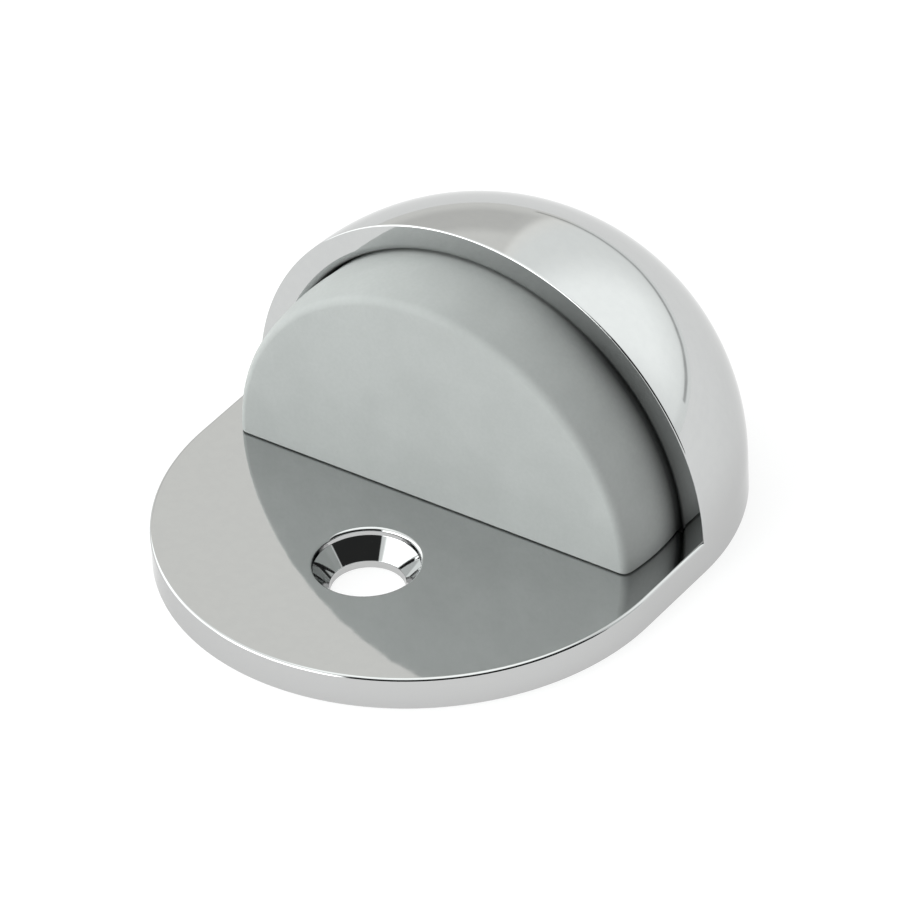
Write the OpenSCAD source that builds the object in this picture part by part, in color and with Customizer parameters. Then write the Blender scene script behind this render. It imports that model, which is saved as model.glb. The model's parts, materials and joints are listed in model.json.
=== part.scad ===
// Floor door stop: an oval base plate and a half-dome hood cast in one, holding a half-ball rubber buffer.
// Millimetres. The origin is the centre of the footprint, on the floor. The buffer faces -Y, +Z is up.

/* [Body] */
// Width across the plate and the dome
body_w = 45; // [42:0.5:48]
// Length from the front of the plate to the back of the dome
body_l = 53.7; // [53:0.1:58]
// Thickness of the base plate, and height at which the dome begins
plate_t = 3; // [2.8:0.1:3.6]
// Thickness of the hood's wall
hood_wall = 2.5; // [2:0.1:3]
// Radius along the top edge of the plate
edge_r = 0.3; // [0.2:0.05:0.5]
// Radius along the outer edge of the hood's flat rim
rim_r = 0.15; // [0.1:0.05:0.3]
// Radius along the inner edge of the hood's flat rim
rim_in_r = 0.7; // [0.4:0.05:0.8]

/* [Floor screw hole] */
// Distance from the front of the plate to the centre of the hole
hole_inset = 14.7; // [12:0.1:15]
// Radius of the straight hole at the bottom
hole_r = 3.15; // [2.2:0.05:3.2]
// Height of the straight hole
hole_land = 0.65; // [0.4:0.05:0.9]
// Radius of the countersink at its top
sink_r = 4.5; // [4:0.05:5]
// Depth of the short wall above the countersink, with its rounded lip
lip_h = 0.65; // [0.6:0.05:0.9]
// Radius of the rounded lip
lip_r = 0.35; // [0.2:0.05:0.5]

/* [Rubber buffer] */
// Gap between the buffer and the inside of the hood
buffer_gap = 0.25; // [0.15:0.05:0.5]
// How far in front of the rim the buffer's ball shape is at its widest
buffer_forward = 2.85; // [2:0.05:3.5]
// How far the buffer's flat face stands proud of the rim
buffer_proud = 7.2; // [6:0.1:8]
// Radius along the curved edge of the face
buffer_edge_r = 0.8; // [0.4:0.1:1.5]
// Height of the foot that the buffer stands on, which leaves a thin gap under its edges
foot_h = 0.1; // [0.05:0.05:0.3]
// How far the foot is set in from the buffer's edges
foot_inset = 0.5; // [0.4:0.1:2]

/* [Fixings inside] */
// Distance between the two retaining screws
screw_gap = 18; // [16:0.5:22]
// Distance of the retaining screws behind the rim
screw_back = 3; // [2:0.5:5]
// Distance of the locating hole behind the rim
boss_back = 12.5; // [11.5:0.5:13]
// Radius of the locating hole in the underside
locating_r = 2.05; // [1.5:0.05:2.5]
// Depth of the locating hole
locating_depth = 6; // [4:0.5:6.5]

/* [Hidden] */
$fn = 96;
over = 1;                                // how far a cutter runs past a face

// body
end_r = body_w / 2;
rim_y = body_l / 2 - end_r;              // the rim's plane, which is also the dome's centre
front_y = -rim_y;                        // centre of the plate's round front
cavity_r = end_r - hood_wall;
hole_y = hole_inset - body_l / 2;
boss_y = rim_y + boss_back;
boss_r = 4;
boss_h = 5;                              // above the plate

// buffer
buffer_z = plate_t + foot_h;
buffer_face_y = rim_y - buffer_proud;
face_to_ball = buffer_proud - buffer_forward;            // from the face back to the centre of the ball
back_r = cavity_r - buffer_gap;                          // of the round back, which begins at the rim
buffer_r = sqrt(pow(back_r, 2) + pow(buffer_forward, 2));    // of the ball
foot_r = sqrt(pow(buffer_r, 2) - pow(face_to_ball, 2)) - foot_inset;
boss_slot = 0.4;                         // between the boss and the buffer's slot for it

// M3 screws and their inserts
screw_r = 1.5;
screw_clear_r = 1.7;
screw_l = 8;
screw_sunk = 0.15;                       // the heads lie below the floor face by this much
head_r = 2.75;
head_h = head_r - screw_r;               // a 90 degree head
recess_l = 3.2;
recess_tip = 1;
recess_t = 0.75;
recess_h = 1.3;
insert_r = 2.5;
insert_root_r = 2.3;
insert_l = 6;
insert_groove_r = 2.1;
insert_groove_h = 1.2;
insert_depth = 5.4;                      // of the blind threaded hole
knurl_teeth = 20;
chamfer = 0.3;

// Half of the plate's cross-section, out to radius end_r, with its top corner rounded.
module plate_section() {
    square([end_r, plate_t - edge_r]);
    square([end_r - edge_r, plate_t]);
    translate([end_r - edge_r, plate_t - edge_r]) circle(edge_r);
}

module plate() {
    translate([0, front_y, 0]) rotate([0, 0, 180]) rotate_extrude(angle = 180) plate_section();
    for (side = [0, 1])
        mirror([side, 0, 0])
            translate([0, rim_y, 0]) rotate([90, 0, 0]) linear_extrude(rim_y - front_y) plate_section();
}

// The hood's wall, cut through its middle: x is the radius, y runs from the rim backwards.
module hood_section() {
    // the outer rounded edge touches both the dome and the rim
    edge_x = sqrt(pow(end_r - rim_r, 2) - pow(rim_r, 2));
    // the inner rounded edge touches the rim, and the inside of the hood at touch_y
    edge_in_x = sqrt(pow(cavity_r + rim_in_r, 2) - pow(rim_in_r, 2));
    touch_y = rim_in_r * cavity_r / (cavity_r + rim_in_r);
    difference() {
        circle(end_r);
        circle(cavity_r);
        translate([-over, touch_y - 2 * end_r]) square(2 * end_r);
        translate([-2 * end_r, -end_r]) square(2 * end_r);
    }
    intersection() {
        circle(end_r);
        translate([edge_in_x, rim_r]) square(end_r);
    }
    translate([edge_in_x, 0]) square([edge_x - edge_in_x, rim_r]);
    translate([edge_x, rim_r]) circle(rim_r);
    translate([edge_in_x, rim_in_r]) circle(rim_in_r);
}

// A quarter of a sphere, open to the front, on the plate's solid round back.
module hood() {
    translate([0, rim_y, plate_t])
        rotate([-90, 0, 0]) rotate([0, 0, 180]) rotate_extrude(angle = 180) hood_section();
    translate([0, rim_y, 0]) rotate_extrude(angle = 180) square([end_r, plate_t]);
}

// The countersink, with a short wall and a rounded lip above it.
module floor_screw_cutter() {
    lip_z = plate_t - lip_r;
    rotate_extrude()
        difference() {
            polygon([
                [0, -over],
                [hole_r, -over],
                [hole_r, hole_land],
                [sink_r, plate_t - lip_h],
                [sink_r, lip_z],
                [sink_r + lip_r, lip_z],
                [sink_r + lip_r, plate_t],
                [sink_r + lip_r, plate_t + over],
                [0, plate_t + over],
            ]);
            translate([sink_r + lip_r, lip_z]) circle(lip_r);
        }
}

// A clearance hole through the plate, countersunk from below.
module retaining_screw_cutter() {
    mouth_r = head_r + screw_sunk;
    translate([0, 0, -over]) cylinder(r = screw_clear_r, h = plate_t + 2 * over);
    translate([0, 0, -over]) cylinder(r1 = mouth_r + over, r2 = screw_clear_r, h = mouth_r - screw_clear_r + over);
}

module stop_body() {
    color("silver")
        difference() {
            union() {
                plate();
                hood();
                translate([0, boss_y, 0]) cylinder(r = boss_r, h = plate_t + boss_h);
            }
            translate([0, hole_y, 0]) floor_screw_cutter();
            translate([0, boss_y, -over]) cylinder(r = locating_r, h = locating_depth + over);
            for (side = [-1, 1])
                translate([side * screw_gap / 2, rim_y + screw_back, 0]) retaining_screw_cutter();
        }
}

// Half of the buffer seen from above: x is the radius, y runs from the face to the back.
module buffer_section() {
    // the rounded edge touches both the ball and the face
    edge_to_ball = buffer_r - buffer_edge_r;
    edge_x = sqrt(pow(edge_to_ball, 2) - pow(face_to_ball - buffer_edge_r, 2));
    touch_y = face_to_ball - (face_to_ball - buffer_edge_r) * buffer_r / edge_to_ball;
    intersection() {
        translate([0, face_to_ball]) circle(buffer_r);
        translate([0, touch_y]) square([end_r, buffer_proud - touch_y]);
    }
    translate([0, buffer_proud])
        intersection() {
            circle(back_r);
            square(end_r);
        }
    square([edge_x, buffer_edge_r]);
    translate([edge_x, buffer_edge_r]) circle(buffer_edge_r);
}

module buffer_foot() {
    foot_front = buffer_face_y + foot_inset;
    translate([-foot_r, foot_front, plate_t]) cube([2 * foot_r, rim_y - foot_front, foot_h]);
    translate([0, rim_y, plate_t]) rotate_extrude(angle = 180) square([foot_r, foot_h]);
}

module rubber_buffer() {
    slot_r = boss_r + boss_slot;
    slot_h = boss_h + boss_slot;
    color("darkgray")
        difference() {
            union() {
                translate([0, buffer_face_y, buffer_z])
                    rotate([-90, 0, 0]) rotate([0, 0, 180]) rotate_extrude(angle = 180) buffer_section();
                buffer_foot();
            }
            for (side = [-1, 1])
                translate([side * screw_gap / 2, rim_y + screw_back, plate_t - over])
                    cylinder(r = insert_r, h = insert_l + over);
            translate([0, boss_y, plate_t - over]) cylinder(r = slot_r, h = slot_h + over);
            translate([-slot_r, boss_y, plate_t - over]) cube([2 * slot_r, end_r, slot_h + over]);
        }
}

// A star of small teeth, the knurl's outline.
module knurl_outline() {
    step = 360 / knurl_teeth;
    polygon([
        for (i = [0 : knurl_teeth - 1], tip = [0, 1])
            let (r = tip ? insert_r : insert_root_r, a = (i + tip / 2) * step)
                [r * cos(a), r * sin(a)],
    ]);
}

module threaded_insert() {
    band_h = (insert_l - insert_groove_h) / 2;
    color("goldenrod")
        difference() {
            union() {
                linear_extrude(band_h) knurl_outline();
                translate([0, 0, insert_l - band_h]) linear_extrude(band_h) knurl_outline();
                cylinder(r = insert_groove_r, h = insert_l);
            }
            translate([0, 0, -over]) cylinder(r = screw_r, h = insert_depth + over);
        }
}

module cross_recess() {
    for (turn = [0, 90])
        rotate([0, 0, turn])
            translate([0, recess_t / 2, 0])
                rotate([90, 0, 0])
                    linear_extrude(recess_t)
                        polygon([
                            [-recess_l / 2, -over],
                            [recess_l / 2, -over],
                            [recess_l / 2, 0],
                            [recess_tip / 2, recess_h],
                            [-recess_tip / 2, recess_h],
                            [-recess_l / 2, 0],
                        ]);
}

// The thread is drawn as a plain shank of its outer diameter.
module retaining_screw() {
    color("lightgray")
        difference() {
            union() {
                cylinder(r1 = head_r, r2 = screw_r, h = head_h);
                cylinder(r = screw_r, h = screw_l - chamfer);
                translate([0, 0, screw_l - chamfer]) cylinder(r1 = screw_r, r2 = screw_r - chamfer, h = chamfer);
            }
            cross_recess();
        }
}

module place_insert(side) {
    translate([side * screw_gap / 2, rim_y + screw_back, plate_t]) threaded_insert();
}

module place_screw(side) {
    translate([side * screw_gap / 2, rim_y + screw_back, screw_sunk]) retaining_screw();
}

stop_body();
rubber_buffer();
place_insert(-1);  // threaded_insert_left
place_insert(1);  // threaded_insert_right
place_screw(-1);  // retaining_screw_left
place_screw(1);  // retaining_screw_right
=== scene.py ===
"""Looks for the floor door stop: a chromed casting with a half-dome hood round a grey rubber buffer.

Everything is in metres, in the CAD frame: the buffer faces -Y and +Z is up.
"""

import json
import math

import bmesh
import bpy
from mathutils import Matrix, Vector
from mathutils.geometry import tessellate_polygon


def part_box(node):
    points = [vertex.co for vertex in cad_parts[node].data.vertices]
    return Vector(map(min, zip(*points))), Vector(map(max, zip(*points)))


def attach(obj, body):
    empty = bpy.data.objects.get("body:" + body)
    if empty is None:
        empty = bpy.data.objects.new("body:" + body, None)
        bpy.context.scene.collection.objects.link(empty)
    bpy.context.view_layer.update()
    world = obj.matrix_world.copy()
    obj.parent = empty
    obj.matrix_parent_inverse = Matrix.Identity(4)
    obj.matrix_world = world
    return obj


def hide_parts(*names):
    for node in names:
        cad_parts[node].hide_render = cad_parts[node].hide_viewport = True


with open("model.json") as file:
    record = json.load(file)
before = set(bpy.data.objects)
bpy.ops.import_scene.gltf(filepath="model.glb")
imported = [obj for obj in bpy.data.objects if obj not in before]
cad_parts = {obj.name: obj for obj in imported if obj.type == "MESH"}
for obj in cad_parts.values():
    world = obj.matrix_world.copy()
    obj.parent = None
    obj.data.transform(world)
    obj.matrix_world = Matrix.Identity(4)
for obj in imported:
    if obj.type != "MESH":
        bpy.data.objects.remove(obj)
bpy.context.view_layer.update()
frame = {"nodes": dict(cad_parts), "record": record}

MM = 0.001
NODES = frame["nodes"]
SIDES = ("left", "right")


def box_mm(node):
    """A node's lowest and highest corners in millimetres."""
    return [[c / MM for c in corner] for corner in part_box(node)]


def middle_mm(node):
    """The middle of a node's box, seen from above, in millimetres."""
    low, high = box_mm(node)
    return [(low[0] + high[0]) / 2, (low[1] + high[1]) / 2]


def mount_mm(name):
    """Where a mount is, its radius and its length, in millimetres."""
    mount = next(m for m in frame["record"]["mounts"] if m["name"] == name)
    return [c / MM for c in mount["pos_m"]], mount["dims"]["r_mm"], mount["dims"]["length_mm"]


# ---------------------------------------------------------------- materials

class Nodes:
    """A short way to build a node tree."""

    def __init__(self, tree):
        self.tree = tree
        tree.nodes.clear()

    def add(self, kind, inputs=None, **settings):
        node = self.tree.nodes.new(kind)
        for key, value in settings.items():
            setattr(node, key, value)
        for key, value in (inputs or {}).items():
            self.put(node.inputs[key], value)
        return node

    def put(self, socket, value):
        if isinstance(value, bpy.types.NodeSocket):
            self.tree.links.new(value, socket)
        else:
            socket.default_value = value

    def math(self, operation, a, b=0.0):
        return self.add("ShaderNodeMath", {0: a, 1: b}, operation=operation).outputs[0]

    def times(self, a, b):
        return self.math("MULTIPLY", a, b)

    def split(self, vector):
        """The three parts of a vector."""
        return self.add("ShaderNodeSeparateXYZ", {0: vector}).outputs

    def step(self, value, low, high):
        """0 below low and 1 above high, with a smooth change between."""
        node = self.add("ShaderNodeMapRange", {"Value": value, "From Min": low, "From Max": high},
                        interpolation_type="SMOOTHSTEP")
        return node.outputs["Result"]

    def remap(self, value, low, high, to_low, to_high):
        """to_low at low and to_high at high, with an even change between."""
        node = self.add("ShaderNodeMapRange", {"Value": value, "From Min": low, "From Max": high,
                                               "To Min": to_low, "To Max": to_high})
        return node.outputs["Result"]

    def mix(self, factor, a, b):
        node = self.add("ShaderNodeMix", data_type="RGBA")
        self.put(node.inputs[0], factor)
        self.put(node.inputs[6], a)
        self.put(node.inputs[7], b)
        return node.outputs[2]

    def noise(self, size, detail):
        """Noise in the object's own space, with features of about this size in metres."""
        place = self.add("ShaderNodeTexCoord").outputs["Object"]
        node = self.add("ShaderNodeTexNoise", {"Vector": place, "Scale": 1.0 / size, "Detail": detail})
        return node.outputs["Fac"]

    def bump(self, height, distance, strength=1.0, normal=None):
        node = self.add("ShaderNodeBump", {"Height": height, "Distance": distance, "Strength": strength})
        if normal is not None:
            self.put(node.inputs["Normal"], normal)
        return node.outputs[0]


def grey(value, tint=(1.0, 1.0, 1.0)):
    return (value * tint[0], value * tint[1], value * tint[2], 1.0)


def new_material(name):
    material = bpy.data.materials.new(name)
    material.use_nodes = True
    return material, Nodes(material.node_tree)


def close(nodes, shader):
    nodes.add("ShaderNodeOutputMaterial", {"Surface": shader.outputs[0]})


CHROME_REFLECTANCE = 0.57
# painted shade: the darker colour of the upright sides and the low dome
SHADED_SIDE_REFLECTANCE = 0.53
# painted shade: inside the hood the chrome is painted nearly black
INSIDE_SHADE_REFLECTANCE = 0.1
SIDE_FADE_TOP = 9.0                          # height in mm above which the dome has no painted shade


def inside_hood(n):
    """1 on the surfaces inside the hood and 0 elsewhere, with a short fade at its mouth."""
    place = n.add("ShaderNodeTexCoord").outputs["Object"]
    centre = (0, RIM_Y * MM, PLATE_T * MM)
    from_centre = n.add("ShaderNodeVectorMath", {0: place, 1: centre}, operation="SUBTRACT").outputs[0]
    distance = n.add("ShaderNodeVectorMath", {0: from_centre}, operation="LENGTH").outputs["Value"]
    _, behind, above = n.split(from_centre)
    near = n.step(distance, (CAVITY_R + 0.35) * MM, (CAVITY_R + 0.1) * MM)
    deep = n.times(n.step(behind, 0.1 * MM, 0.5 * MM), n.step(above, -0.06 * MM, -0.03 * MM))
    return n.times(near, deep)


def shaded_low_sides(n):
    """Where the chrome is painted darker as painted shade: 1 on the upright sides of the plate, fading out
    up the dome, and 0 on faces that look up.
    """
    coordinates = n.add("ShaderNodeTexCoord").outputs
    height = n.split(coordinates["Object"])[2]
    facing = n.split(coordinates["Normal"])[2]
    return n.times(n.step(facing, 0.6, 0.35), n.step(height, SIDE_FADE_TOP * MM, PLATE_T * MM))


def chrome_material():
    """Mirror chrome on a polished zinc casting: the polish leaves a faint waviness.

    The upright sides and the low dome are painted a little darker, as painted shade. Inside the hood the
    casting is left rough, and its colour is painted nearly black, as painted shade in the gap.
    """
    material, n = new_material("chrome")
    cloud = n.noise(6 * MM, 1.0)
    ripple = n.noise(1.8 * MM, 1.0)
    haze = n.noise(0.9 * MM, 3.0)
    # rougher inside the hood, and painted nearly black there as painted shade
    dull_and_shaded = inside_hood(n)
    polished = n.mix(n.step(haze, 0.35, 0.65), grey(CHROME_REFLECTANCE * 0.985, (0.99, 1.0, 1.0)),
                     grey(CHROME_REFLECTANCE, (0.99, 1.0, 0.998)))
    # painted shade: the upright sides and the low dome darker
    side_shaded = n.mix(shaded_low_sides(n), polished, grey(SHADED_SIDE_REFLECTANCE))
    # painted shade: nearly black inside the hood
    colour = n.mix(dull_and_shaded, side_shaded, grey(INSIDE_SHADE_REFLECTANCE))
    rough = n.math("ADD", n.remap(haze, 0.3, 0.7, 0.035, 0.06), n.times(dull_and_shaded, 0.5))
    wave = n.bump(ripple, 0.0025 * MM, normal=n.bump(cloud, 0.012 * MM))
    shader = n.add("ShaderNodeBsdfPrincipled",
                   {"Base Color": colour, "Metallic": 1.0, "Roughness": rough, "Normal": wave,
                    "Specular Tint": grey(0.82)})
    close(n, shader)
    return material


SHADE_REACH = 1.3                            # mm in front of the hood in which the painted shade fades by 1/e
SHADE_LEFT, SHADE_RIGHT = 5.0, 15.0          # distances in mm to the right over which it sets in


def painted_mouth_shade(n):
    """Painted shade where the rubber goes into the hood: strongest on the right, and fading out forwards.
    """
    side, depth, _ = n.split(n.add("ShaderNodeTexCoord").outputs["Object"])
    ahead = n.math("MAXIMUM", n.math("SUBTRACT", RIM_Y * MM, depth), 0.0)
    fade = n.math("EXPONENT", n.times(ahead, -1 / (SHADE_REACH * MM)))
    return n.times(fade, n.step(side, SHADE_LEFT * MM, SHADE_RIGHT * MM))


def rubber_material():
    """Moulded grey rubber: matt, faintly mottled, with a very fine grain and a painted shade at the hood's
    mouth.
    """
    material, n = new_material("grey_rubber")
    cloud = n.noise(5 * MM, 3.0)
    speck = n.noise(0.35 * MM, 2.0)
    tint = (0.965, 1.0, 0.985)
    clouded = n.mix(n.step(cloud, 0.3, 0.7), grey(0.385, tint), grey(0.413, tint))
    specked = n.mix(n.remap(speck, 0.35, 0.65, 0.0, 0.12), clouded, grey(0.32, tint))
    # painted shade: the rubber's colour darkened towards the hood's mouth on the right
    colour = n.mix(n.times(painted_mouth_shade(n), 0.85), specked, grey(0.01))
    rough = n.remap(speck, 0.3, 0.7, 0.7, 0.82)
    grain = n.bump(speck, 0.02 * MM, 0.6)
    shader = n.add("ShaderNodeBsdfPrincipled",
                   {"Base Color": colour, "Roughness": rough, "Specular IOR Level": 0.3, "Normal": grain})
    close(n, shader)
    return material


def brass_material():
    """Turned brass, a little uneven in colour and polish."""
    material, n = new_material("brass")
    cloud = n.noise(1.5 * MM, 3.0)
    colour = n.mix(n.step(cloud, 0.35, 0.65), (0.50, 0.30, 0.075, 1.0), (0.60, 0.38, 0.10, 1.0))
    rough = n.remap(cloud, 0.3, 0.7, 0.22, 0.38)
    shader = n.add("ShaderNodeBsdfPrincipled",
                   {"Base Color": colour, "Metallic": 1.0, "Roughness": rough})
    close(n, shader)
    return material


def zinc_material():
    """Bright zinc plate, faintly blue in places."""
    material, n = new_material("zinc_plated_steel")
    cloud = n.noise(1.2 * MM, 3.0)
    colour = n.mix(n.step(cloud, 0.35, 0.65), (0.38, 0.40, 0.43, 1.0), (0.48, 0.49, 0.50, 1.0))
    rough = n.remap(cloud, 0.3, 0.7, 0.2, 0.34)
    shader = n.add("ShaderNodeBsdfPrincipled",
                   {"Base Color": colour, "Metallic": 1.0, "Roughness": rough})
    close(n, shader)
    return material


def floor_material():
    """White paper lit partly from below, like a light table."""
    material, n = new_material("floor")
    cloud = n.noise(60 * MM, 2.0)
    colour = n.mix(n.step(cloud, 0.3, 0.7), grey(0.895), grey(0.91))
    paper = n.add("ShaderNodeBsdfPrincipled",
                  {"Base Color": colour, "Roughness": 0.9, "Specular IOR Level": 0.0})
    glow = n.add("ShaderNodeEmission", {"Color": colour, "Strength": 1.24})
    shader = n.add("ShaderNodeMixShader", {0: 0.68, 1: paper.outputs[0], 2: glow.outputs[0]})
    close(n, shader)
    return material


def dress(obj, material):
    obj.data.materials.clear()
    obj.data.materials.append(material)


# ---------------------------------------------------------------- mesh building

class Skin:
    """A closed mesh whose face corners carry exact normals, so that chrome mirrors cleanly.

    Corners are (point, normal) in millimetres. Equal points are welded.
    """

    WELD_STEPS = 5000                        # to the millimetre; points in the same step are one point

    def __init__(self):
        self.index = {}
        self.points = []
        self.faces = []
        self.normals = []

    def vertex(self, point):
        key = tuple(round(c * self.WELD_STEPS) for c in point)
        if key not in self.index:
            self.index[key] = len(self.points)
            self.points.append(Vector(point))
        return self.index[key]

    def face(self, corners):
        kept = {}
        for point, normal in corners:
            kept.setdefault(self.vertex(point), Vector(normal).normalized())
        if len(kept) < 3:
            return
        ring = list(kept.items())
        start = self.points[ring[0][0]]
        area = Vector()
        for (a, _), (b, _) in zip(ring[1:], ring[2:]):
            area += (self.points[a] - start).cross(self.points[b] - start)
        if area.dot(sum(kept.values(), Vector())) < 0:
            ring.reverse()
        self.faces.append([v for v, _ in ring])
        self.normals.extend(normal for _, normal in ring)

    def grid(self, rows):
        """Quads between neighbouring rows of corners."""
        for low, high in zip(rows, rows[1:]):
            for i in range(len(low) - 1):
                self.face([low[i], low[i + 1], high[i + 1], high[i]])

    def flat(self, loops, normal):
        """A flat face; the first loop is its outline and the others are holes."""
        points = [p for loop in loops for p in loop]
        for triangle in tessellate_polygon([[Vector(p) for p in loop] for loop in loops]):
            self.face([(points[i], normal) for i in triangle])

    def revolve(self, samples, centre):
        """Turns samples (radius, height, normal's two parts) round a vertical axis."""
        rows = []
        for radius, height, out, up in samples:
            rows.append([((centre[0] + radius * c, centre[1] + radius * s, height), (out * c, out * s, up))
                         for c, s in turns(HOLE_STEPS)])
        self.grid(rows)

    def mesh(self, name):
        mesh = bpy.data.meshes.new(name)
        mesh.from_pydata([p * MM for p in self.points], [], self.faces)
        mesh.shade_smooth()
        mesh.normals_split_custom_set(self.normals)
        return mesh


HOLE_STEPS = 96                              # round a whole hole
BEND_STEPS = 6                               # round a bent line's corner


def turns(count, whole=2 * math.pi):
    """The cosine and sine at equal steps from 0 to a whole turn, or to part of one."""
    ends = [whole * i / count for i in range(count + 1)]
    if whole == 2 * math.pi:
        ends[-1] = 0.0
    return [(math.cos(a), math.sin(a)) for a in ends]


def circle(radius, centre, height):
    return [(centre[0] + radius * c, centre[1] + radius * s, height) for c, s in turns(HOLE_STEPS)[:-1]]


def bent_line(points, rounds=None):
    """Samples (x, y, normal x, normal y) along a line with some corners rounded.

    The normal is on the left of the direction of travel. rounds maps a corner's number to its radius.
    """
    samples = []
    points = [Vector(p) for p in points]
    start = points[0]
    for i in range(1, len(points)):
        way = (points[i] - points[i - 1]).normalized()
        left = Vector((-way.y, way.x))
        radius = (rounds or {}).get(i, 0.0)
        if radius == 0.0:
            samples += [(start, left), (points[i], left)]
            start = points[i]
            continue
        onward = (points[i + 1] - points[i]).normalized()
        left_after = Vector((-onward.y, onward.x))
        cut = radius * math.tan(way.angle(onward) / 2)
        first = points[i] - way * cut
        side = 1 if way.cross(onward) > 0 else -1
        samples += [(start, left), (first, left)]
        for k in range(1, BEND_STEPS + 1):
            normal = left.slerp(left_after, k / BEND_STEPS)
            samples.append((first + (left - normal) * radius * side, normal))
        start = samples[-1][0]
    return [(p.x, p.y, n.x, n.y) for p, n in samples]


def quarter(steps, start=0.0, end=math.pi / 2):
    """Angles at equal steps, over a quarter turn or from start to end."""
    return [start + (end - start) * k / steps for k in range(steps + 1)]


def new_piece(name, mesh, material, node):
    """Links a mesh that stands for a CAD node."""
    piece = bpy.data.objects.new(name, mesh)
    bpy.context.scene.collection.objects.link(piece)
    dress(piece, material)
    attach(piece, "root")
    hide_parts(node)
    return piece


# ---------------------------------------------------------------- the casting

BODY_LOW, BODY_HIGH = box_mm("stop_body")
RADIUS = BODY_HIGH[0]                        # of the dome and of the plate's round front
RIM_Y = BODY_HIGH[1] - RADIUS                # plane of the hood's rim
FRONT_Y = BODY_LOW[1] + RADIUS               # centre of the plate's round front
PLATE_T = BODY_HIGH[2] - RADIUS

EDGE_R = 0.3                                 # along the plate's top edge
RIM_R = 0.15                                 # along the rim's outer edge
RIM_IN_R = 0.7                               # along the rim's inner edge
BOTTOM_R = 0.1                               # along the bottom edge
HOOD_WALL = 2.5
CAVITY_R = RADIUS - HOOD_WALL

BOSS_R, BOSS_TOP = 4.0, 8.0
BOSS_EDGE_R = 0.2

SINK_R = 4.5                                 # of the countersink at its top
LIP_H, LIP_R = 0.65, 0.35                    # of the short wall above it, and its rounded lip
LAND_EDGE_R, SINK_EDGE_R = 0.2, 0.12         # at the cone's lower and upper ends

SCREW_HOLE_R, SCREW_MOUTH_R = 1.7, 2.9
SCREW_PLACES = [middle_mm("retaining_screw_" + side) for side in SIDES]

ARC_STEPS = 96                               # round half of the dome or of the plate's front
DOME_STEPS = 48                              # from the rim to the back of the dome
EDGE_STEPS = 12                              # over the plate's rounded top edge


def rim_edge():
    """Where the rim's rounded edge has its centre, and the angle at which the dome begins."""
    return math.sqrt((RADIUS - RIM_R) ** 2 - RIM_R ** 2), math.asin(RIM_R / (RADIUS - RIM_R))


def rim_outer_samples():
    """Radius, distance behind the rim, and normal, from the dome over its rounded edge to the rim.

    The radii are those of the plate's rounded top edge, so that the two edges meet without a step.
    """
    edge_x, dome_start = rim_edge()
    c, s = math.cos(dome_start), math.sin(dome_start)
    samples = [(RADIUS * c, RADIUS * s, c, s)]
    for phi in quarter(EDGE_STEPS)[1:]:
        x = RADIUS - EDGE_R * (1 - math.cos(phi))
        if x > edge_x + 1e-6:
            out = (x - edge_x) / RIM_R
            back = math.sqrt(1 - out ** 2)
            samples.append((x, RIM_R * (1 - back), out, -back))
        else:
            samples.append((x, 0.0, 0.0, -1.0))
    return samples


def cavity_samples():
    """From the rim over its inner rounded edge and back along the inside of the hood."""
    centre = math.sqrt((CAVITY_R + RIM_IN_R) ** 2 - RIM_IN_R ** 2)
    start = math.asin(RIM_IN_R / (CAVITY_R + RIM_IN_R))
    samples = []
    for turn in quarter(10, 0.0, math.pi / 2 - start):
        s, c = math.sin(turn), math.cos(turn)
        samples.append((centre - RIM_IN_R * s, RIM_IN_R * (1 - c), -s, -c))
    for turn in quarter(16, start)[1:]:
        c, s = math.cos(turn), math.sin(turn)
        samples.append((CAVITY_R * c, CAVITY_R * s, -c, -s))
    return samples


def dome_samples():
    return [(RADIUS * math.cos(a), RADIUS * math.sin(a), math.cos(a), math.sin(a))
            for a in quarter(DOME_STEPS, rim_edge()[1])]


def half_turn(samples, height):
    """Rows of a surface turned about the dome's axis, from the right side over the top to the left."""
    return [[((radius * c, RIM_Y + back, height + radius * s), (out * c, away, out * s))
             for c, s in turns(ARC_STEPS, math.pi)]
            for radius, back, out, away in samples]


def front_row(k, samples):
    """A row of the plate's rounded top edge: up the left side, round the front, and back on the right."""
    phi = math.pi / 2 * k / EDGE_STEPS
    x = RADIUS - EDGE_R * (1 - math.cos(phi))
    z = PLATE_T - EDGE_R * (1 - math.sin(phi))
    end_x, end_back = samples[k][:2]
    flat, up = math.cos(phi), math.sin(phi)
    arc = [((x * c, FRONT_Y - x * s, z), (flat * c, -flat * s, up)) for c, s in turns(ARC_STEPS, math.pi)]
    right_end = [((end_x, RIM_Y + end_back, z), (flat, 0, up)), ((x, RIM_Y, z), (flat, 0, up))]
    left_end = [((-px, py, pz), (-nx, ny, nz)) for (px, py, pz), (nx, ny, nz) in reversed(right_end)]
    return right_end + arc + left_end


def rim_foot(skin, samples):
    """The strips that carry the rim down to the plate's rounded top edge."""
    for side in (1, -1):
        low, high = [], []
        for k, (x, back, out, away) in enumerate(samples):
            z = PLATE_T - EDGE_R * (1 - math.sin(math.pi / 2 * k / EDGE_STEPS))
            low.append(((side * x, RIM_Y + back, z), (side * out, away, 0)))
            high.append(((side * x, RIM_Y + back, PLATE_T), (side * out, away, 0)))
        skin.grid([low, high])


def outline(front, dome):
    """The side wall's corners, all the way round: front row first, then round the back."""
    wall = [(p, (n[0], n[1], 0)) for p, n in front[1:-1]]
    back = [(x, RIM_Y + y, nx, ny) for x, y, nx, ny in dome]
    wall += [((-x, y, 0), (-nx, ny, 0)) for x, y, nx, ny in back]
    wall += [((x, y, 0), (nx, ny, 0)) for x, y, nx, ny in reversed(back[:-1])]
    return wall + wall[:1]


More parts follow.
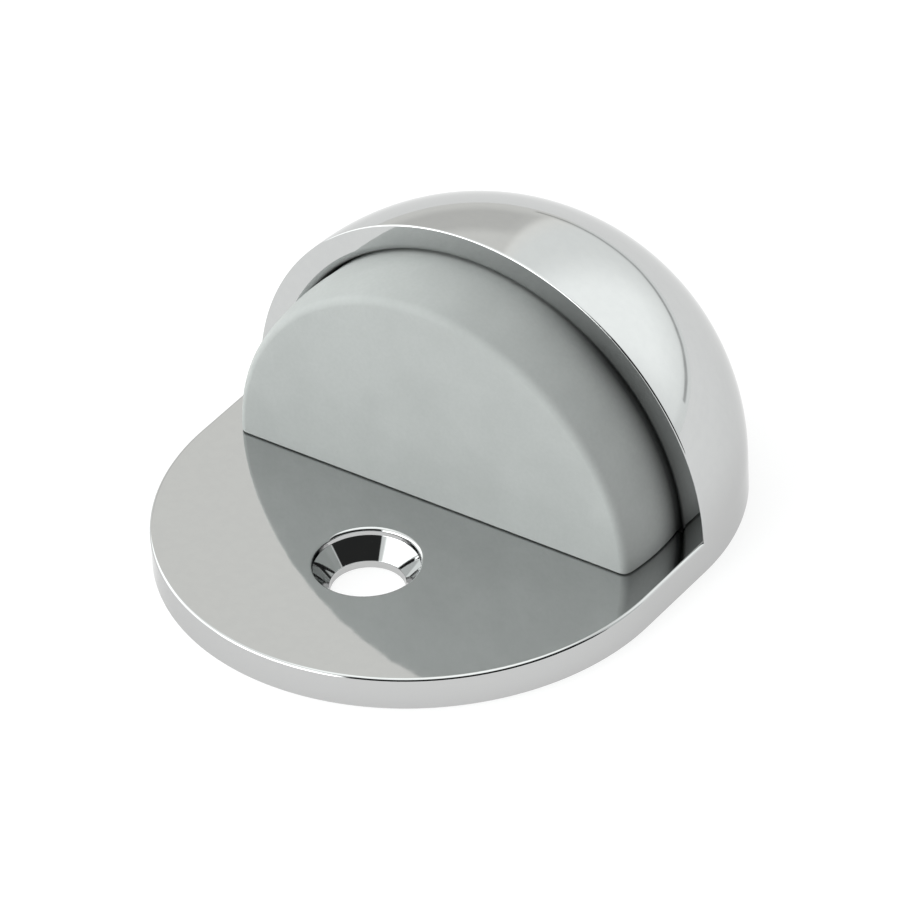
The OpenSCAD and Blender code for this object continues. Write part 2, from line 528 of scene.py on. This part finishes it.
def side_wall(skin, wall, front_count):
    """The upright sides: down to the floor all round, and on up to the dome behind the rim.

    Returns the loop of points in which they end on the floor.
    """
    rows = []
    for turn in quarter(4):
        out, down = math.cos(turn), math.sin(turn)
        inset, z = BOTTOM_R * (1 - out), BOTTOM_R * (1 - down)
        rows.append([((x - nx * inset, y - ny * inset, z), (nx * out, ny * out, -down))
                     for (x, y, _), (nx, ny, _) in wall])
    skin.grid(rows)
    top = PLATE_T - EDGE_R
    skin.grid([[((x, y, z), n) for (x, y, _), n in wall] for z in (BOTTOM_R, top)])
    behind = wall[front_count - 2:-1]
    skin.grid([[((x, y, z), n) for (x, y, _), n in behind] for z in (top, PLATE_T)])
    return [point for point, _ in rows[-1][:-1]]


def plate_holes(skin):
    """The countersunk hole, the locating hole with its boss, and the retaining screws' holes.

    Returns the circles in which they end on the plate's top and on its underside.
    """
    (_, hole_y, _), hole_r, land = mount_mm("floor_screw_hole")
    (_, boss_y, _), locating_r, depth = mount_mm("locating_hole")
    mouth_r = SINK_R + LIP_R
    skin.revolve(bent_line([(hole_r, 0), (hole_r, land), (SINK_R, PLATE_T - LIP_H), (SINK_R, PLATE_T),
                            (mouth_r, PLATE_T)], {1: LAND_EDGE_R, 2: SINK_EDGE_R, 3: LIP_R}), (0, hole_y))
    skin.revolve(bent_line([(locating_r, 0), (locating_r, depth), (0, depth)]), (0, boss_y))
    skin.revolve(bent_line([(0, BOSS_TOP), (BOSS_R, BOSS_TOP), (BOSS_R, PLATE_T)], {1: BOSS_EDGE_R}),
                 (0, boss_y))
    for place in SCREW_PLACES:
        skin.revolve(bent_line([(SCREW_MOUTH_R, 0), (SCREW_HOLE_R, SCREW_MOUTH_R - SCREW_HOLE_R),
                                (SCREW_HOLE_R, PLATE_T)]), place)
    above = [circle(mouth_r, (0, hole_y), PLATE_T), circle(BOSS_R, (0, boss_y), PLATE_T)]
    above += [circle(SCREW_HOLE_R, place, PLATE_T) for place in SCREW_PLACES]
    below = [circle(hole_r, (0, hole_y), 0), circle(locating_r, (0, boss_y), 0)]
    below += [circle(SCREW_MOUTH_R, place, 0) for place in SCREW_PLACES]
    return above, below


def casting():
    skin = Skin()
    rim = rim_outer_samples()
    cavity = cavity_samples()
    dome = dome_samples()
    skin.grid(half_turn(dome, PLATE_T))
    skin.grid(half_turn(rim + cavity[:1], PLATE_T))
    skin.grid(half_turn(cavity, PLATE_T))

    front = [front_row(k, rim) for k in range(EDGE_STEPS + 1)]
    skin.grid(front)
    rim_foot(skin, rim)
    floor_loop = side_wall(skin, outline(front[0], dome), len(front[0]))

    holes_above, holes_below = plate_holes(skin)
    hood_foot = [(x, RIM_Y + back, PLATE_T) for x, back, _, _ in cavity]
    top_loop = [point for point, _ in front[-1][1:-1]]
    top_loop += [(-x, y, z) for x, y, z in hood_foot] + hood_foot[-2::-1]
    skin.flat([top_loop] + holes_above, (0, 0, 1))
    skin.flat([floor_loop] + holes_below, (0, 0, -1))
    new_piece("cast_body", skin.mesh("cast_body"), CHROME, "stop_body")


# ---------------------------------------------------------------- the rubber

FACE_Y = box_mm("rubber_buffer")[0][1]
HOOD_GAP = 0.25
BALL_FORWARD = 2.85                          # how far in front of the rim the ball is at its widest
BACK_R = CAVITY_R - HOOD_GAP                 # of the round back, which begins at the rim
BALL_Y = RIM_Y - BALL_FORWARD
BALL_R = math.hypot(BACK_R, BALL_FORWARD)
FACE_EDGE_R = 0.8
FOOT_H, FOOT_INSET = 0.1, 0.5
SOLE_Z = PLATE_T + FOOT_H
SOLE_EDGE_R = 0.12                           # along the bottom edge
SOLE_FADE = 3.0                              # distance behind the rim in which that radius fades out
BOSS_GAP = 0.4
SLOT_R, SLOT_H = BOSS_R + BOSS_GAP, BOSS_TOP - PLATE_T + BOSS_GAP
PAST = 1.0                                   # how far a cutter runs past the block


def buffer_samples():
    """Radius, y and normal from the edge of the flat face over the ball to the back."""
    to_face = BALL_Y - FACE_Y - FACE_EDGE_R
    edge_x = math.sqrt((BALL_R - FACE_EDGE_R) ** 2 - to_face ** 2)
    ball_start = math.atan2(to_face, edge_x)
    samples = []
    for turn in quarter(8, 0.0, math.pi / 2 - ball_start):
        s, c = math.sin(turn), math.cos(turn)
        samples.append((edge_x + FACE_EDGE_R * s, FACE_Y + FACE_EDGE_R * (1 - c), s, -c))
    for turn in quarter(12, ball_start, -math.asin(BALL_FORWARD / BALL_R))[1:]:
        c, s = math.cos(turn), math.sin(turn)
        samples.append((BALL_R * c, BALL_Y - BALL_R * s, c, -s))
    for turn in quarter(24)[1:]:
        c, s = math.cos(turn), math.sin(turn)
        samples.append((BACK_R * c, RIM_Y + BACK_R * s, c, s))
    return samples


def buffer_row(radius, y, out, away):
    """From the sole on the right, up its rounded edge and over the top, to the sole on the left."""
    edge = SOLE_EDGE_R * min(1.0, max(0.0, (RIM_Y + SOLE_FADE - y) / SOLE_FADE))
    right = []
    for turn in quarter(4):
        s, c = math.sin(turn), math.cos(turn)
        right.append(((radius - out * edge * (1 - s), y - away * edge * (1 - s), SOLE_Z + edge * (1 - c)),
                      (out * s, away * s, -c)))
    over = [((radius * c, y, SOLE_Z + radius * s), (out * c, away, out * s))
            for c, s in turns(ARC_STEPS, math.pi)[1:-1]]
    left = [((-x, py, z), (-nx, ny, nz)) for (x, py, z), (nx, ny, nz) in reversed(right)]
    return right + over + left


def buffer_block():
    """The half ball on its foot, before its pockets are cut."""
    skin = Skin()
    rows = [buffer_row(*sample) for sample in buffer_samples()]
    skin.grid(rows)
    front = rows[0]
    skin.grid([front[:5], front[:-6:-1]])    # the sole's rounded edge, right across under the face
    skin.flat([[p for p, _ in front[4:-4]]], (0, -1, 0))
    foot_r = math.sqrt(BALL_R ** 2 - (BALL_Y - FACE_Y) ** 2) - FOOT_INSET
    foot = [((foot_r * c, RIM_Y + foot_r * s), (c, s, 0)) for c, s in turns(ARC_STEPS, math.pi)]
    front_y = FACE_Y + FOOT_INSET
    outline_xy = [(foot_r, front_y)] + [p for p, _ in foot] + [(-foot_r, front_y)]
    sole = [row[0][0] for row in rows] + [row[-1][0] for row in rows[-2::-1]]
    skin.flat([sole, [(x, y, SOLE_Z) for x, y in outline_xy]], (0, 0, -1))
    skin.flat([[(x, y, PLATE_T) for x, y in outline_xy]], (0, 0, -1))
    for a, b in zip(outline_xy, outline_xy[1:] + outline_xy[:1]):
        out = (b[1] - a[1], a[0] - b[0], 0)
        skin.face([((*a, SOLE_Z), out), ((*b, SOLE_Z), out), ((*b, PLATE_T), out), ((*a, PLATE_T), out)])
    return skin.mesh("buffer_block")


def cutter(name, outline_mm, low, high):
    """An upright prism, used to cut a pocket."""
    prism = bmesh.new()
    base = [prism.verts.new((x * MM, y * MM, low * MM)) for x, y in outline_mm]
    lid = bmesh.ops.extrude_face_region(prism, geom=[prism.faces.new(base)])["geom"]
    bmesh.ops.translate(prism, verts=[v for v in lid if isinstance(v, bmesh.types.BMVert)],
                        vec=(0, 0, (high - low) * MM))
    bmesh.ops.recalc_face_normals(prism, faces=prism.faces)
    mesh = bpy.data.meshes.new(name)
    prism.to_mesh(mesh)
    prism.free()
    obj = bpy.data.objects.new(name, mesh)
    bpy.context.scene.collection.objects.link(obj)
    return obj


def pocket_cutters():
    """The slot that clears the boss, and the pockets for the two inserts."""
    below = PLATE_T - PAST
    boss_y = mount_mm("locating_hole")[0][1]
    slot = [(SLOT_R * c, boss_y - SLOT_R * s) for c, s in turns(32, math.pi)]
    slot += [(-SLOT_R, RIM_Y + RADIUS), (SLOT_R, RIM_Y + RADIUS)]
    cutters = [cutter("slot", slot, below, PLATE_T + SLOT_H)]
    for side in SIDES:
        low, high = box_mm("threaded_insert_" + side)
        x, y = middle_mm("threaded_insert_" + side)
        r = (high[0] - low[0]) / 2
        pocket = [(x + r * c, y + r * s) for c, s in turns(48)[:-1]]
        cutters.append(cutter("pocket_" + side, pocket, below, high[2]))
    return cutters


def buffer():
    shape = bpy.data.objects.new("buffer_block", buffer_block())
    bpy.context.scene.collection.objects.link(shape)
    cutters = pocket_cutters()
    for tool in cutters:
        cut = shape.modifiers.new(tool.name, "BOOLEAN")
        cut.operation, cut.solver, cut.object = "DIFFERENCE", "EXACT", tool
    mesh = bpy.data.meshes.new_from_object(shape.evaluated_get(bpy.context.evaluated_depsgraph_get()))
    for spare in cutters + [shape]:
        bpy.data.objects.remove(spare)
    mesh.name = "buffer"
    mesh.shade_smooth()
    mesh.set_sharp_from_angle(angle=math.radians(35))
    piece = new_piece("buffer", mesh, RUBBER, "rubber_buffer")
    even = piece.modifiers.new("even", "WEIGHTED_NORMAL")
    even.keep_sharp = True


# ---------------------------------------------------------------- studio

COOL_WHITE, WARM_WHITE = (0.972, 1.0, 0.99, 1.0), (1.0, 1.0, 0.97, 1.0)
WARM_SIDE = (-75, -20, -3, 56, 8)
# radiance, (azimuth from, to, elevation from, to, softness of the edges), each over the ones before it
STUDIO = [
    (1.05, (-180, 180, -90, 10, 20)),
    (0.96, WARM_SIDE),
    (0.78, (-62, -23, 7, 28, 9)),
    (1.15, (-23, 50, 4, 52, 3)),
    (1.48, (0, 42, 8, 54, 24)),
    (0.56, (-26, 36, 1.6, 3.0, 0.9)),
    (0.8, (50, 72, -5, 55, 8)),
    (0.03, (70, 180, -10, 52, 3)),
    (2.1, (-170, -76, 0, 38, 6)),
    (1.3, (-170, -76, 38, 62, 8)),
    (1.7, (-180, 180, 62, 100, 10)),
    (5.5, (178, 230, -5, 24, 8)),
]


def studio_world():
    """A pale studio all round, with softboxes and a dark flag, by direction.

    Azimuth is 0 towards +Y and grows towards +X; both angles are in degrees.
    """
    world = bpy.data.worlds.new("studio")
    world.use_nodes = True
    bpy.context.scene.world = world
    n = Nodes(world.node_tree)
    x, y, z = n.split(n.add("ShaderNodeTexCoord").outputs["Generated"])
    azimuth = n.times(n.math("ARCTAN2", x, y), math.degrees(1))
    elevation = n.times(n.math("ARCSINE", z), math.degrees(1))

    def panel(az_low, az_high, el_low, el_high, soft):
        """1 inside a rectangle of directions, 0 outside, with soft edges."""
        middle, half = (az_low + az_high) / 2, (az_high - az_low) / 2
        off = n.math("SUBTRACT", azimuth, middle)
        turn = n.add("ShaderNodeMath", {0: off, 1: 180.0, 2: -180.0}, operation="WRAP").outputs[0]
        across = n.step(n.math("ABSOLUTE", turn), half + soft / 2, half - soft / 2)
        above = n.step(elevation, el_low - soft / 2, el_low + soft / 2)
        below = n.step(elevation, el_high + soft / 2, el_high - soft / 2)
        return n.times(across, n.times(above, below))

    light = n.add("ShaderNodeValue").outputs[0]
    light.default_value = 1.0
    for level, box in STUDIO:
        mask = panel(*box)
        keep = n.times(light, n.math("SUBTRACT", 1.0, mask))
        light = n.math("ADD", keep, n.times(mask, level))
    colour = n.mix(panel(*WARM_SIDE), COOL_WHITE, WARM_WHITE)
    back = n.add("ShaderNodeBackground", {"Color": colour, "Strength": light})
    n.add("ShaderNodeOutputWorld", {"Surface": back.outputs[0]})


FLOOR_R = 4.0                                # metres


def floor():
    ring = [(FLOOR_R * c, FLOOR_R * s, 0.0) for c, s in turns(64)[:-1]]
    mesh = bpy.data.meshes.new("floor")
    mesh.from_pydata(ring, [], [tuple(range(len(ring)))])
    obj = bpy.data.objects.new("floor", mesh)
    bpy.context.scene.collection.objects.link(obj)
    dress(obj, floor_material())


VIEW_AZIMUTH, VIEW_ELEVATION, VIEW_ROLL = 36.354, 36.369, -3.100
VIEW_AIM = (2.000, -2.424, 9.026)            # mm
VIEW_DISTANCE = 689.1                        # mm
VIEW_LENS, SENSOR_WIDTH = 333.71, 36.0


def camera():
    """A long lens, high at the front right, turned a little on its axis."""
    azimuth, elevation, roll = (math.radians(a) for a in (VIEW_AZIMUTH, VIEW_ELEVATION, VIEW_ROLL))
    back = Vector((math.sin(azimuth) * math.cos(elevation), -math.cos(azimuth) * math.cos(elevation),
                   math.sin(elevation)))
    right = Vector((math.cos(azimuth), math.sin(azimuth), 0.0))
    up = back.cross(right)
    turned_right = right * math.cos(roll) + up * math.sin(roll)
    turned_up = up * math.cos(roll) - right * math.sin(roll)
    data = bpy.data.cameras.new("camera")
    data.sensor_width = SENSOR_WIDTH
    data.lens = VIEW_LENS
    data.clip_start, data.clip_end = 0.05, 20.0
    obj = bpy.data.objects.new("camera", data)
    bpy.context.scene.collection.objects.link(obj)
    rotation = Matrix((turned_right, turned_up, back)).transposed().to_4x4()
    place = (Vector(VIEW_AIM) + back * VIEW_DISTANCE) * MM
    obj.matrix_world = Matrix.Translation(place) @ rotation
    bpy.context.scene.camera = obj


# ---------------------------------------------------------------- the object

CHROME = chrome_material()
RUBBER = rubber_material()
BRASS = brass_material()
ZINC = zinc_material()

casting()
buffer()
for side in SIDES:
    dress(NODES["threaded_insert_" + side], BRASS)
    dress(NODES["retaining_screw_" + side], ZINC)

studio_world()
floor()
camera()
bpy.context.scene.view_settings.view_transform = "Standard"
bpy.context.scene.cycles.max_bounces = 16
bpy.context.scene.cycles.glossy_bounces = 12
bpy.context.scene.cycles.diffuse_bounces = 6
